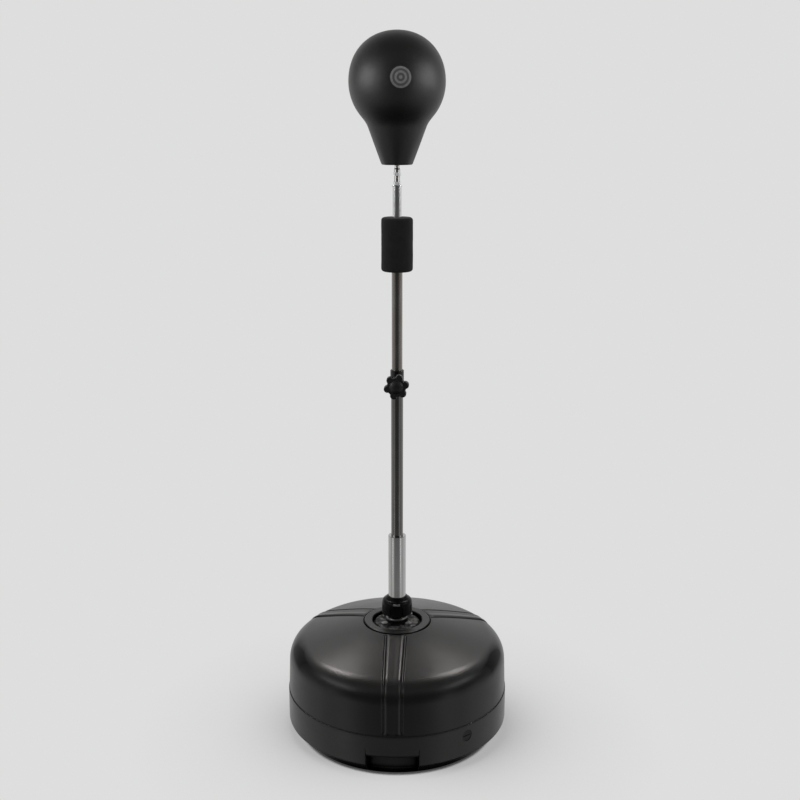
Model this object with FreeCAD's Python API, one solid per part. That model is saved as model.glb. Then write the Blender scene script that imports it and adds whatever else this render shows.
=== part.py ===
import FreeCAD, Part
import math
import os

# Free-standing reflex ball stand: a hollow round base that is filled with water or sand,
# a heavy coil spring on its hub, a telescopic steel mast and an inflated ball on top.
# Millimetres. The origin is the centre of the base on the floor, +Z is up, the front is -Y.

# ---- driving dimensions ----------------------------------------------------------------
BASE_R = 240.0            # outer radius of the filled base
BASE_WALL = 5.0           # wall of the moulded tank
FLOOR_GAP = 2.0           # height of the tank's underside above the floor
FOOT_R = 212.0            # radius of the tank's underside
FOOT_TOP_R = 231.0        # radius of the drawn-in foot just below the lip
LIP_Z = 31.0              # underside of the lip
STEP_Z = 101.0            # top of the slightly prouder lower band
WALL_TOP_Z = 166.0        # where the wall runs into the shoulder
WALL_TOP_R = 236.3
SHOULDER_R = 200.0        # where the shoulder runs into the domed top
SHOULDER_Z = 213.6
DOME_MIDDLE_R = 140.0     # a point half way up the domed top
DOME_MIDDLE_Z = 232.3
DOME_EDGE_Z = 248.0       # height of the dome at the rim of the hub recess
LIP_ROUND = 3.0
HUB_RECESS_R = 73.5
HUB_SEAT_Z = 241.0        # flat seat inside the hub recess

RIB_COUNT = 3             # pairs of radial grooves, the first one at the front
GROOVE_WIDTH = 8.0
GROOVE_DEPTH = 3.0
GROOVE_HALF_GAP_HUB = 21.5
GROOVE_HALF_GAP_WALL = 18.8

GRIP_HALF_WIDTH = 54.5    # carrying recesses in the lip
GRIP_TOP_Z = 53.5
GRIP_BOTTOM_Z = 10.0
GRIP_DEPTH = 34.0
GRIP_ROUND = 8.0

FILL_ANGLE = -50.5        # degrees, direction of the filling hole
FILL_Z = 77.0
FILL_BORE_R = 9.05
FILL_BOSS_R = 14.0
FILL_BOSS_DEPTH = 26.0    # how far the boss reaches into the tank
FILL_RECESS_R = 12.5
FILL_RECESS_DEPTH = 5.0
PLUG_HEAD_R = 12.0
PLUG_HEAD_SINK = 0.8      # how far the plug's face lies below the wall
PLUG_LENGTH = 24.0
PLUG_HOLLOW_R = 5.5
COIN_SLOT = (2.6, 2.4, 17.0)   # depth, width, length
SEAL_THICKNESS = 1.4

PAD_COUNT = 6
PAD_R = 15.0
PAD_CIRCLE_R = 190.0

RING_R = 72.0             # hub trim ring
RING_BORE_R = 54.5
RING_TOP_Z = 250.0
PLATE_R = 47.5            # steel flange under the spring
PLATE_TOP_Z = 246.0
BOLT_CIRCLE_R = 36.5
BOLT_COUNT = 4
BOLT_SHANK_R = 4.0        # M8
BOLT_HEAD_FLATS = 13.0
BOLT_HEAD_HEIGHT = 5.3
THREAD_BORE_R = 4.05      # plain bore that stands for an M8 thread
SCREW_HOLE_R = 4.6        # clearance hole for the clamp screw
WASHER_R = 7.5
WASHER_THICKNESS = 1.6
INSERT_R = 6.0            # threaded inserts moulded into plastic
INSERT_DEPTH = 19.0
INSERT_BOSS_R = 11.0
INSERT_BOSS_DEPTH = 26.0

SPRING_MEAN_R = 20.5
SPRING_WIRE_R = 3.5
SPRING_BOTTOM_Z = 247.5
SPRING_TOP_Z = 294.0
CLOSED_TURNS = 0.75       # close-wound part at each end
ACTIVE_TURNS = 3.0
SPIGOT_R = 16.8           # spigots of the two seats that centre the spring
SPIGOT_TOP_Z = 259.0
SPIGOT_LEAD = 2.0         # chamfer that leads the spring on
UPPER_SPIGOT_Z = 284.0
TUBE_PLUG_TOP_Z = 312.5   # top of the seat's plug inside the wide tube

COLLAR_R = 33.0
COLLAR_BORE_R = 30.0
COLLAR_BOTTOM_Z = 268.0
COLLAR_SHOULDER_Z = 289.0
COLLAR_CROWN_R = 26.5     # where the collar's round shoulder meets its cone
COLLAR_CROWN_Z = 301.0
COLLAR_TOP_Z = 307.0
COLLAR_FLUTES = 8
FLUTE_R = 1.7
TAB_SIZE = (15.6, 12.0, 3.6)   # locating tab of the upper seat: width, depth, height
TAB_FRONT_Y = -32.6
SEAT_TOP_Z = 298.0        # top of the upper spring seat's disc

TUBE_R = 19.0             # 38 mm chrome tube
TUBE_BORE_R = 17.5
TUBE_TOP_Z = 446.0
BUSH_FLANGE = 2.5
BUSH_LENGTH = 22.0
LOWER_POLE_R = 12.7       # 25.4 mm pole
LOWER_POLE_BORE_R = 11.2
LOWER_POLE_BOTTOM_Z = 313.0
LOWER_POLE_TOP_Z = 800.0
UPPER_POLE_R = 11.1       # 22.2 mm pole
UPPER_POLE_BORE_R = 9.5
UPPER_POLE_BOTTOM_Z = 560.0
UPPER_POLE_TOP_Z = 1118.0
RUNNING_GAP = 0.05        # radial clearance of parts that slide in each other
GUIDE_LENGTH = 16.0       # guide below the end of the upper pole
GUIDE_PLUG_LENGTH = 20.0  # its plug inside the pole

CLAMP_R = 14.2
CLAMP_BOTTOM_Z = 756.0
CLAMP_TOP_Z = 811.0
KNOB_Z = 782.0
CLAMP_BOSS_R = 10.0
CLAMP_BOSS_Y = -24.0      # front face of the clamp's boss
CLAMP_INSERT_Y = -14.0    # back of the insert in the boss
THRUST_WASHER_R = 9.0
THRUST_WASHER_THICKNESS = 1.5
SCREW_REACH = 11.5        # how far the clamp screw stands in front of the boss
KNOB_LOBES = 6
KNOB_TILT = 13.0          # degrees the knob stands turned from level
KNOB_R = 26.5
KNOB_HUB_R = 20.0
LOBE_R = 7.6
KNOB_NECK_R = 11.0
KNOB_NECK_LENGTH = 3.5
KNOB_THICKNESS = 12.0
KNOB_ROUND = 2.5
CAP_SPHERE_R = 24.0       # sphere of the domed cap on the knob's front
CAP_R = 14.0
CAP_HEIGHT = 4.5

GRIP_FOAM_R = 32.5
FOAM_BOTTOM_Z = 1016.0
FOAM_TOP_Z = 1125.0
FOAM_ROUND = 6.0

NECK_TUBE_R = 9.5         # 19 mm tube pressed into the upper pole
NECK_TUBE_BORE_R = 8.2
NECK_TUBE_BOTTOM_Z = 1078.0
NECK_TOP_Z = 1188.5       # top of the plug that closes the neck tube
NECK_FLANGE_R = 10.6
NECK_FLANGE_HEIGHT = 3.5
NECK_PLUG_LENGTH = 26.0
STUD_SINK = 20.0          # length of the stud inside the neck plug
STUD_REACH = 30.0         # length of the stud inside the ball
NUT_FLATS = 13.0
NUT_HEIGHT = 6.5
SPACER_R = 5.6
SPACER_HEIGHT = 12.0
FERRULE_R = 6.2
FERRULE_NECK_R = 5.0

BALL_CENTRE_Z = 1387.0    # height of the widest section
BALL_R = 95.8
BALL_HALF_HEIGHT = 98.0
BALL_FULLNESS = 0.59      # Bezier handle of the crown, a little fuller than an ellipse
BALL_BLEND_TURN = 130.0   # degrees from the top where the round part ends
BALL_CONE_SLOPE = 21.8    # degrees between the cone and the axis
BALL_CONE_R = 58.2        # upper end of the cone
BALL_CONE_Z = 1301.6
BALL_BOTTOM_Z = 1228.6
BALL_NECK_R = 30.5
COVER_WALL = 3.0
BLADDER_WALL = 2.0
BADGE_R = 20.0
BADGE_THICKNESS = 0.6
BADGE_ANGLE = -83.5
BADGE_Z = 1393.0
CORE_TOP_Z = 1266.0       # top of the firm plug inside the ball's neck
CORE_TOP_R = 37.8
SOCKET_R = 9.0
SOCKET_HOLE_R = 9.5
VALVE_R = 4.0
VALVE_BORE_R = 0.8
VALVE_Y = 18.0

UP = FreeCAD.Vector(0, 0, 1)
FRONT = FreeCAD.Vector(0, -1, 0)


# ---- small helpers -----------------------------------------------------------------------
def point(radius, height):
    """A point of a turned profile, in the XZ plane."""
    return FreeCAD.Vector(radius, 0, height)


def polar(radius, angle, height):
    """A point at a plan angle in degrees."""
    turn = math.radians(angle)
    return FreeCAD.Vector(radius * math.cos(turn), radius * math.sin(turn), height)


def line(start, end):
    return Part.LineSegment(start, end).toShape()


def arc(start, middle, end):
    return Part.Arc(start, middle, end).toShape()


def bezier(points):
    curve = Part.BezierCurve()
    curve.setPoles(points)
    return curve.toShape()


def polyline(points):
    """Edges that join the points in turn."""
    return [line(points[i], points[i + 1]) for i in range(len(points) - 1)]


def turned(edges):
    """The solid made by turning a closed profile about the Z axis."""
    face = Part.Face(Part.Wire(Part.__sortEdges__(edges)))
    return face.revolve(FreeCAD.Vector(0, 0, 0), UP, 360)


def turned_polygon(corners):
    """A turned solid from (radius, height) corners, closed on itself."""
    points = [point(r, z) for r, z in corners]
    points.append(points[0])
    return turned(polyline(points))


def disc(radius, bottom, top, centre=(0.0, 0.0)):
    base = FreeCAD.Vector(centre[0], centre[1], bottom)
    return Part.makeCylinder(radius, top - bottom, base, UP)


def sleeve(outer, inner, bottom, top, centre=(0.0, 0.0)):
    return disc(outer, bottom, top, centre).cut(disc(inner, bottom - 1, top + 1, centre))


def front_rod(radius, y_back, y_front, height):
    """A cylinder that runs towards the front, -Y, at the given height."""
    return Part.makeCylinder(radius, y_back - y_front, FreeCAD.Vector(0, y_back, height), FRONT)


def hexagon(flats, bottom, top, centre=(0.0, 0.0)):
    """A hexagonal prism with slightly chamfered corners."""
    corner_r = flats / math.sqrt(3)
    corners = [polar(corner_r, 60 * i, bottom) for i in range(7)]
    prism = Part.Face(Part.makePolygon(corners)).extrude(UP * (top - bottom))
    chamfer = 0.5
    outline = turned_polygon([
        (0, bottom), (corner_r - chamfer, bottom), (corner_r, bottom + chamfer),
        (corner_r, top - chamfer), (corner_r - chamfer, top), (0, top)])
    prism = prism.common(outline)
    prism.translate(FreeCAD.Vector(centre[0], centre[1], 0))
    return prism


def around(count, radius, first_angle=0.0):
    """Plan positions of items spread evenly on a circle."""
    places = []
    for i in range(count):
        place = polar(radius, first_angle + 360.0 * i / count, 0)
        places.append((place.x, place.y))
    return places


def round_edges(shape, radius, wanted):
    """Fillet the edges that the test picks."""
    edges = [e for e in shape.Edges if wanted(e)]
    return shape.makeFillet(radius, edges)


def circle_edge_at(height, radius):
    """A test for full circular edges about Z at a height and radius."""
    def wanted(edge):
        box = edge.BoundBox
        flat = abs(box.ZMax - height) < 0.01 and abs(box.ZMin - height) < 0.01
        return flat and abs(box.XMax - radius) < 0.05
    return wanted


# ---- base ----------------------------------------------------------------------------------
def tank_form(inset):
    """The full form of the tank, drawn in by a distance on every side."""
    floor_z = FLOOR_GAP + inset
    radius = BASE_R - inset
    lip = LIP_Z + inset
    soft = LIP_ROUND * (1 - math.sqrt(0.5))
    wall_top = point(WALL_TOP_R - inset, WALL_TOP_Z)
    shoulder = point(SHOULDER_R - 0.3 * inset, SHOULDER_Z - inset)
    rim = point(HUB_RECESS_R + inset, DOME_EDGE_Z - inset)
    dome_middle = point(DOME_MIDDLE_R, DOME_MIDDLE_Z - inset)
    seat = HUB_SEAT_Z - inset
    edges = polyline([
        point(0, seat), point(0, floor_z), point(FOOT_R - inset, floor_z),
        point(FOOT_TOP_R - inset, lip), point(radius - LIP_ROUND, lip)])
    edges.append(arc(
        point(radius - LIP_ROUND, lip),
        point(radius - soft, lip + soft),
        point(radius, lip + LIP_ROUND)))
    edges += polyline([
        point(radius, lip + LIP_ROUND), point(radius, STEP_Z - 1),
        point(radius - 1.2, STEP_Z + 1.5), wall_top])
    edges.append(bezier([
        wall_top, point(wall_top.x - 0.6, wall_top.z + 27),
        point(shoulder.x + 19, shoulder.z - 5.8), shoulder]))
    edges.append(arc(shoulder, dome_middle, rim))
    edges += polyline([rim, point(rim.x, seat), point(0, seat)])
    return turned(edges)


def groove_plan(side):
    """The plan outline of one groove of the front pair, side is -1 or 1."""
    half = GROOVE_WIDTH / 2
    near_y = -HUB_RECESS_R + 4
    far_y = -BASE_R - 5
    corners = [
        (side * GROOVE_HALF_GAP_HUB - half, near_y),
        (side * GROOVE_HALF_GAP_HUB + half, near_y),
        (side * GROOVE_HALF_GAP_WALL + half, far_y),
        (side * GROOVE_HALF_GAP_WALL - half, far_y)]
    points = [FreeCAD.Vector(x, y, STEP_Z + 2) for x, y in corners]
    points.append(points[0])
    return Part.Face(Part.makePolygon(points)).extrude(UP * (RING_TOP_Z - STEP_Z))


def base_grooves(form):
    """Pairs of shallow grooves that run from the hub over the shoulder and down the wall."""
    skin = form.cut(tank_form(GROOVE_DEPTH))
    grooves = []
    for side in (-1, 1):
        front = skin.common(groove_plan(side))
        for i in range(RIB_COUNT):
            groove = front.copy()
            groove.rotate(FreeCAD.Vector(0, 0, 0), UP, 360.0 * i / RIB_COUNT)
            grooves.append(groove)
    return grooves


def grip_block(half_width, back_y, bottom, top):
    return Part.makeBox(
        2 * half_width, BASE_R + 10 + back_y, top - bottom,
        FreeCAD.Vector(-half_width, -BASE_R - 10, bottom))


def make_base_shell():
    form = tank_form(0.0)
    shell = form.cut(tank_form(BASE_WALL))
    wall = BASE_WALL - 1
    back_y = -(BASE_R - GRIP_DEPTH)
    pocket_wall = grip_block(GRIP_HALF_WIDTH + wall, back_y + wall, FLOOR_GAP + 2, GRIP_TOP_Z + wall)
    pocket_wall = pocket_wall.common(form)
    pocket = grip_block(GRIP_HALF_WIDTH, back_y, GRIP_BOTTOM_Z, GRIP_TOP_Z)
    pocket = round_edges(pocket, GRIP_ROUND, lambda e: abs(e.BoundBox.ZMin - GRIP_TOP_Z) < 0.01
                         and e.BoundBox.YLength > 10)
    for i in range(RIB_COUNT):
        turn = 360.0 * i / RIB_COUNT
        added = pocket_wall.copy()
        added.rotate(FreeCAD.Vector(0, 0, 0), UP, turn)
        shell = shell.fuse(added)
    for i in range(RIB_COUNT):
        turn = 360.0 * i / RIB_COUNT
        taken = pocket.copy()
        taken.rotate(FreeCAD.Vector(0, 0, 0), UP, turn)
        shell = shell.cut(taken)
    for groove in base_grooves(form):
        shell = shell.cut(groove)
    for place in around(BOLT_COUNT, BOLT_CIRCLE_R, 45):
        boss = disc(INSERT_BOSS_R, HUB_SEAT_Z - INSERT_BOSS_DEPTH, HUB_SEAT_Z - 2, place)
        insert = disc(INSERT_R, HUB_SEAT_Z - INSERT_DEPTH, HUB_SEAT_Z + 1, place)
        shell = shell.fuse(boss).cut(insert)
    for place in around(PAD_COUNT, PAD_CIRCLE_R):
        shell = shell.cut(disc(PAD_R, FLOOR_GAP - 1, FLOOR_GAP + 2, place))
    shell = shell.fuse(fill_cylinder(FILL_BOSS_R, BASE_R - FILL_BOSS_DEPTH, BASE_R - 3))
    shell = shell.cut(fill_cylinder(FILL_BORE_R, BASE_R - FILL_BOSS_DEPTH - 9, BASE_R + 5))
    shell = shell.cut(fill_cylinder(FILL_RECESS_R, BASE_R - FILL_RECESS_DEPTH, BASE_R + 5))
    return shell.removeSplitter()


def fill_cylinder(radius, inner, outer):
    """A cylinder along the axis of the filling hole, between two distances from the centre."""
    direction = polar(1.0, FILL_ANGLE, 0)
    start = polar(inner, FILL_ANGLE, FILL_Z)
    return Part.makeCylinder(radius, outer - inner, start, direction)


def make_floor_pads():
    return Part.Compound([disc(PAD_R, 0, FLOOR_GAP + 2, p) for p in around(PAD_COUNT, PAD_CIRCLE_R)])


def make_drain_plug():
    face = BASE_R - PLUG_HEAD_SINK
    head_back = BASE_R - FILL_RECESS_DEPTH + SEAL_THICKNESS
    head = fill_cylinder(PLUG_HEAD_R, head_back, face)
    shank = fill_cylinder(FILL_BORE_R - RUNNING_GAP, BASE_R - PLUG_LENGTH, head_back)
    hollow = fill_cylinder(PLUG_HOLLOW_R, BASE_R - PLUG_LENGTH - 1, BASE_R - 6)
    depth, width, length = COIN_SLOT
    coin_slot = Part.makeBox(depth, length, width, FreeCAD.Vector(0, -length / 2, -width / 2))
    coin_slot.rotate(FreeCAD.Vector(0, 0, 0), UP, FILL_ANGLE)
    coin_slot.translate(polar(BASE_R - 2.2, FILL_ANGLE, FILL_Z))
    return head.fuse(shank).cut(hollow).cut(coin_slot).removeSplitter()


def make_plug_seal():
    inner = BASE_R - FILL_RECESS_DEPTH
    ring = fill_cylinder(PLUG_HEAD_R, inner, inner + SEAL_THICKNESS)
    return ring.cut(fill_cylinder(FILL_BORE_R, BASE_R - 6, BASE_R - 3))


def make_hub_ring():
    edges = polyline([
        point(RING_BORE_R, RING_TOP_Z - 1.5), point(RING_BORE_R, HUB_SEAT_Z),
        point(RING_R, HUB_SEAT_Z), point(RING_R, RING_TOP_Z - 2.5)])
    edges.append(arc(
        point(RING_R, RING_TOP_Z - 2.5), point(RING_R - 0.8, RING_TOP_Z - 0.8),
        point(RING_R - 2.5, RING_TOP_Z)))
    edges += polyline([
        point(RING_R - 2.5, RING_TOP_Z), point(RING_BORE_R + 1.5, RING_TOP_Z),
        point(RING_BORE_R, RING_TOP_Z - 1.5)])
    return turned(edges)


def make_flange_plate():
    plate = turned_polygon([
        (0, HUB_SEAT_Z), (PLATE_R, HUB_SEAT_Z), (PLATE_R, PLATE_TOP_Z - 1),
        (PLATE_R - 1, PLATE_TOP_Z), (0, PLATE_TOP_Z)])
    for place in around(BOLT_COUNT, BOLT_CIRCLE_R, 45):
        plate = plate.cut(disc(BOLT_SHANK_R + 0.5, HUB_SEAT_Z - 1, PLATE_TOP_Z + 1, place))
    return plate


def make_hub_washers():
    rings = []
    for place in around(BOLT_COUNT, BOLT_CIRCLE_R, 45):
        top = PLATE_TOP_Z + WASHER_THICKNESS
        rings.append(sleeve(WASHER_R, BOLT_SHANK_R + 0.3, PLATE_TOP_Z, top, place))
    return Part.Compound(rings)


def make_hub_bolts():
    head_z = PLATE_TOP_Z + WASHER_THICKNESS
    bolts = []
    for place in around(BOLT_COUNT, BOLT_CIRCLE_R, 45):
        head = hexagon(BOLT_HEAD_FLATS, head_z, head_z + BOLT_HEAD_HEIGHT, place)
        shank = disc(BOLT_SHANK_R, HUB_SEAT_Z - INSERT_DEPTH + 2, head_z, place)
        bolts.append(head.fuse(shank))
    return Part.Compound(bolts)


def make_hub_inserts():
    nuts = []
    for place in around(BOLT_COUNT, BOLT_CIRCLE_R, 45):
        nuts.append(sleeve(INSERT_R, THREAD_BORE_R, HUB_SEAT_Z - INSERT_DEPTH, HUB_SEAT_Z, place))
    return Part.Compound(nuts)


# ---- spring and collar -----------------------------------------------------------------------
def make_spring_seat_lower():
    return turned_polygon([
        (0, PLATE_TOP_Z), (SPRING_MEAN_R + SPRING_WIRE_R, PLATE_TOP_Z),
        (SPRING_MEAN_R + SPRING_WIRE_R, SPRING_BOTTOM_Z), (SPIGOT_R, SPRING_BOTTOM_Z),
        (SPIGOT_R, SPIGOT_TOP_Z - SPIGOT_LEAD), (SPIGOT_R - SPIGOT_LEAD, SPIGOT_TOP_Z),
        (0, SPIGOT_TOP_Z)])


def spring_height(turn, closed_rise, active_rise):
    """Height of the wire's centre above its start after a number of turns."""
    if turn <= CLOSED_TURNS:
        return closed_rise * turn / CLOSED_TURNS
    if turn <= CLOSED_TURNS + ACTIVE_TURNS:
        return closed_rise + active_rise * (turn - CLOSED_TURNS) / ACTIVE_TURNS
    rest = turn - CLOSED_TURNS - ACTIVE_TURNS
    return closed_rise + active_rise + closed_rise * rest / CLOSED_TURNS


def make_coil_spring():
    start_z = SPRING_BOTTOM_Z + SPRING_WIRE_R
    rise = SPRING_TOP_Z - SPRING_BOTTOM_Z - 2 * SPRING_WIRE_R
    closed_rise = CLOSED_TURNS * (2 * SPRING_WIRE_R + 0.2)
    active_rise = rise - 2 * closed_rise
    turns = 2 * CLOSED_TURNS + ACTIVE_TURNS
    steps = int(turns * 16)
    points = []
    for i in range(steps + 1):
        turn = turns * i / steps
        height = start_z + spring_height(turn, closed_rise, active_rise)
        points.append(polar(SPRING_MEAN_R, 360.0 * turn, height))
    path = Part.BSplineCurve()
    path.interpolate(points)
    wire = Part.Wire([path.toShape()])
    section = Part.Wire([Part.makeCircle(SPRING_WIRE_R, points[0], path.tangent(0)[0])])
    return wire.makePipeShell([section], True, True)


def make_spring_seat_upper():
    disc_r = COLLAR_BORE_R - 0.2
    plug_lead = 1.5
    seat = turned_polygon([
        (0, UPPER_SPIGOT_Z), (SPIGOT_R - SPIGOT_LEAD, UPPER_SPIGOT_Z),
        (SPIGOT_R, UPPER_SPIGOT_Z + SPIGOT_LEAD), (SPIGOT_R, SPRING_TOP_Z),
        (disc_r, SPRING_TOP_Z), (disc_r, SEAT_TOP_Z), (TUBE_BORE_R, SEAT_TOP_Z),
        (TUBE_BORE_R, TUBE_PLUG_TOP_Z - plug_lead), (TUBE_BORE_R - plug_lead, TUBE_PLUG_TOP_Z),
        (0, TUBE_PLUG_TOP_Z)])
    width, depth, height = TAB_SIZE
    tab = Part.makeBox(width, depth, height, FreeCAD.Vector(-width / 2, TAB_FRONT_Y, SPRING_TOP_Z))
    return seat.fuse(tab).removeSplitter()


def make_collar():
    shoulder = point(COLLAR_R, COLLAR_SHOULDER_Z)
    crown = point(COLLAR_CROWN_R, COLLAR_CROWN_Z)
    edges = polyline([
        point(COLLAR_BORE_R, COLLAR_BOTTOM_Z), point(COLLAR_R, COLLAR_BOTTOM_Z), shoulder])
    edges.append(bezier([
        shoulder, shoulder + UP * 7, crown + FreeCAD.Vector(3.5, 0, -1.5), crown]))
    edges += polyline([
        crown, point(TUBE_R + 3, COLLAR_TOP_Z - 1.5), point(TUBE_R + 1.8, COLLAR_TOP_Z),
        point(TUBE_R + 0.1, COLLAR_TOP_Z), point(TUBE_R + 0.1, SEAT_TOP_Z),
        point(COLLAR_BORE_R - 0.2, SEAT_TOP_Z), point(COLLAR_BORE_R, SEAT_TOP_Z - 0.2),
        point(COLLAR_BORE_R, COLLAR_BOTTOM_Z)])
    collar = turned(edges)
    for place in around(COLLAR_FLUTES, COLLAR_R + 0.5, 180.0 / COLLAR_FLUTES):
        collar = collar.cut(disc(FLUTE_R, COLLAR_BOTTOM_Z + 5, COLLAR_SHOULDER_Z, place))
    half_width = TAB_SIZE[0] / 2 + 0.2
    corner = FreeCAD.Vector(-half_width, -COLLAR_R - 7, SPRING_TOP_Z - 0.2)
    return collar.cut(Part.makeBox(2 * half_width, 12.0, TAB_SIZE[2] + 0.4, corner))


# ---- mast ------------------------------------------------------------------------------------
def make_base_tube():
    return sleeve(TUBE_R, TUBE_BORE_R, SEAT_TOP_Z, TUBE_TOP_Z - BUSH_FLANGE)


def make_tube_bush_lower():
    bottom = LOWER_POLE_BOTTOM_Z
    return sleeve(TUBE_BORE_R, LOWER_POLE_R, bottom, bottom + BUSH_LENGTH)


def make_tube_bush_upper():
    flange_z = TUBE_TOP_Z - BUSH_FLANGE
    return turned_polygon([
        (LOWER_POLE_R, flange_z - BUSH_LENGTH), (TUBE_BORE_R, flange_z - BUSH_LENGTH),
        (TUBE_BORE_R, flange_z),
        (TUBE_R, flange_z), (TUBE_R, TUBE_TOP_Z - 0.8), (TUBE_R - 0.8, TUBE_TOP_Z),
        (LOWER_POLE_R, TUBE_TOP_Z)])


def make_lower_pole():
    pole = sleeve(LOWER_POLE_R, LOWER_POLE_BORE_R, LOWER_POLE_BOTTOM_Z, LOWER_POLE_TOP_Z)
    return pole.cut(front_rod(SCREW_HOLE_R, 0, CLAMP_BOSS_Y, KNOB_Z))


def make_upper_pole():
    return sleeve(UPPER_POLE_R, UPPER_POLE_BORE_R, UPPER_POLE_BOTTOM_Z, UPPER_POLE_TOP_Z)


def make_guide_bush():
    slide_r = LOWER_POLE_BORE_R - RUNNING_GAP
    bottom = UPPER_POLE_BOTTOM_Z - GUIDE_LENGTH
    plug_top = UPPER_POLE_BOTTOM_Z + GUIDE_PLUG_LENGTH
    return turned_polygon([
        (0, bottom), (slide_r - 1, bottom), (slide_r, bottom + 1),
        (slide_r, UPPER_POLE_BOTTOM_Z), (UPPER_POLE_BORE_R, UPPER_POLE_BOTTOM_Z),
        (UPPER_POLE_BORE_R, plug_top), (0, plug_top)])


def make_clamp_collar():
    guide_r = UPPER_POLE_R + RUNNING_GAP
    sleeve_body = turned_polygon([
        (guide_r, LOWER_POLE_TOP_Z), (guide_r, CLAMP_TOP_Z), (CLAMP_R - 1.5, CLAMP_TOP_Z),
        (CLAMP_R, CLAMP_TOP_Z - 1.5), (CLAMP_R, CLAMP_BOTTOM_Z + 1),
        (CLAMP_R - 1, CLAMP_BOTTOM_Z), (LOWER_POLE_R, CLAMP_BOTTOM_Z),
        (LOWER_POLE_R, LOWER_POLE_TOP_Z)])
    boss = front_rod(CLAMP_BOSS_R, -5, CLAMP_BOSS_Y, KNOB_Z)
    boss = boss.cut(disc(LOWER_POLE_R, CLAMP_BOTTOM_Z, CLAMP_TOP_Z))
    clamp = sleeve_body.fuse(boss)
    clamp = clamp.cut(front_rod(SCREW_HOLE_R, 0, CLAMP_INSERT_Y - 1, KNOB_Z))
    clamp = clamp.cut(front_rod(INSERT_R, CLAMP_INSERT_Y, CLAMP_BOSS_Y - 1, KNOB_Z))
    return clamp.removeSplitter()


def make_clamp_insert():
    body = front_rod(INSERT_R, CLAMP_INSERT_Y, CLAMP_BOSS_Y, KNOB_Z)
    return body.cut(front_rod(THREAD_BORE_R, 0, CLAMP_BOSS_Y - 1, KNOB_Z))


def make_knob_washer():
    front = CLAMP_BOSS_Y - THRUST_WASHER_THICKNESS
    body = front_rod(THRUST_WASHER_R, CLAMP_BOSS_Y, front, KNOB_Z)
    return body.cut(front_rod(THREAD_BORE_R, CLAMP_BOSS_Y + 1, front - 1, KNOB_Z))


def make_clamp_screw():
    tip_y = -(UPPER_POLE_R + RUNNING_GAP)
    return front_rod(BOLT_SHANK_R, tip_y, CLAMP_BOSS_Y - SCREW_REACH, KNOB_Z)


def make_star_knob():
    back = CLAMP_BOSS_Y - THRUST_WASHER_THICKNESS
    star_back = back - KNOB_NECK_LENGTH
    star_front = star_back - KNOB_THICKNESS
    knob = front_rod(KNOB_HUB_R, star_back, star_front, KNOB_Z)
    for i in range(KNOB_LOBES):
        turn = math.radians(KNOB_TILT + 360.0 * i / KNOB_LOBES)
        lobe = front_rod(LOBE_R, star_back, star_front, KNOB_Z)
        lobe.translate(FreeCAD.Vector(math.cos(turn), 0, math.sin(turn)) * (KNOB_R - LOBE_R))
        knob = knob.fuse(lobe)
    knob = knob.removeSplitter()
    knob = round_edges(knob, KNOB_ROUND, lambda e: abs(e.BoundBox.YMin - star_front) < 0.01
                       and e.BoundBox.YLength < 0.01)
    knob = knob.fuse(front_rod(KNOB_NECK_R, back, star_back - 1, KNOB_Z))
    sphere_y = star_front - CAP_HEIGHT + CAP_SPHERE_R
    cap = Part.makeSphere(CAP_SPHERE_R, FreeCAD.Vector(0, sphere_y, KNOB_Z))
    cap = cap.common(front_rod(CAP_R, star_front + 1, star_front - CAP_HEIGHT - 1, KNOB_Z))
    screw_hole = front_rod(BOLT_SHANK_R, 0, CLAMP_BOSS_Y - SCREW_REACH, KNOB_Z)
    return knob.fuse(cap).cut(screw_hole).removeSplitter()


def make_foam_grip():
    grip = sleeve(GRIP_FOAM_R, UPPER_POLE_R, FOAM_BOTTOM_Z, FOAM_TOP_Z)
    grip = round_edges(grip, FOAM_ROUND, circle_edge_at(FOAM_TOP_Z, GRIP_FOAM_R))
    return round_edges(grip, FOAM_ROUND, circle_edge_at(FOAM_BOTTOM_Z, GRIP_FOAM_R))


# ---- neck --------------------------------------------------------------------------------------
def make_neck_tube():
    top = NECK_TOP_Z - NECK_FLANGE_HEIGHT
    return sleeve(NECK_TUBE_R, NECK_TUBE_BORE_R, NECK_TUBE_BOTTOM_Z, top)


def make_neck_plug():
    flange_z = NECK_TOP_Z - NECK_FLANGE_HEIGHT
    bottom = flange_z - NECK_PLUG_LENGTH
    plug = turned_polygon([
        (0, bottom), (NECK_TUBE_BORE_R - 1, bottom), (NECK_TUBE_BORE_R, bottom + 1),
        (NECK_TUBE_BORE_R, flange_z), (NECK_FLANGE_R, flange_z), (NECK_FLANGE_R, NECK_TOP_Z - 1),
        (NECK_FLANGE_R - 1, NECK_TOP_Z), (0, NECK_TOP_Z)])
    return plug.cut(disc(BOLT_SHANK_R, NECK_TOP_Z - STUD_SINK, NECK_TOP_Z + 1))


def make_ball_stud():
    return disc(BOLT_SHANK_R, NECK_TOP_Z - STUD_SINK, BALL_BOTTOM_Z + STUD_REACH)


def make_lock_nuts():
    spacer_top = NECK_TOP_Z + NUT_HEIGHT + SPACER_HEIGHT
    nuts = []
    for bottom in (NECK_TOP_Z, spacer_top):
        nut = hexagon(NUT_FLATS, bottom, bottom + NUT_HEIGHT)
        nuts.append(nut.cut(disc(THREAD_BORE_R, bottom - 1, bottom + NUT_HEIGHT + 1)))
    return Part.Compound(nuts)


def make_neck_spacer():
    bottom = NECK_TOP_Z + NUT_HEIGHT
    return sleeve(SPACER_R, THREAD_BORE_R, bottom, bottom + SPACER_HEIGHT)


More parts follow.
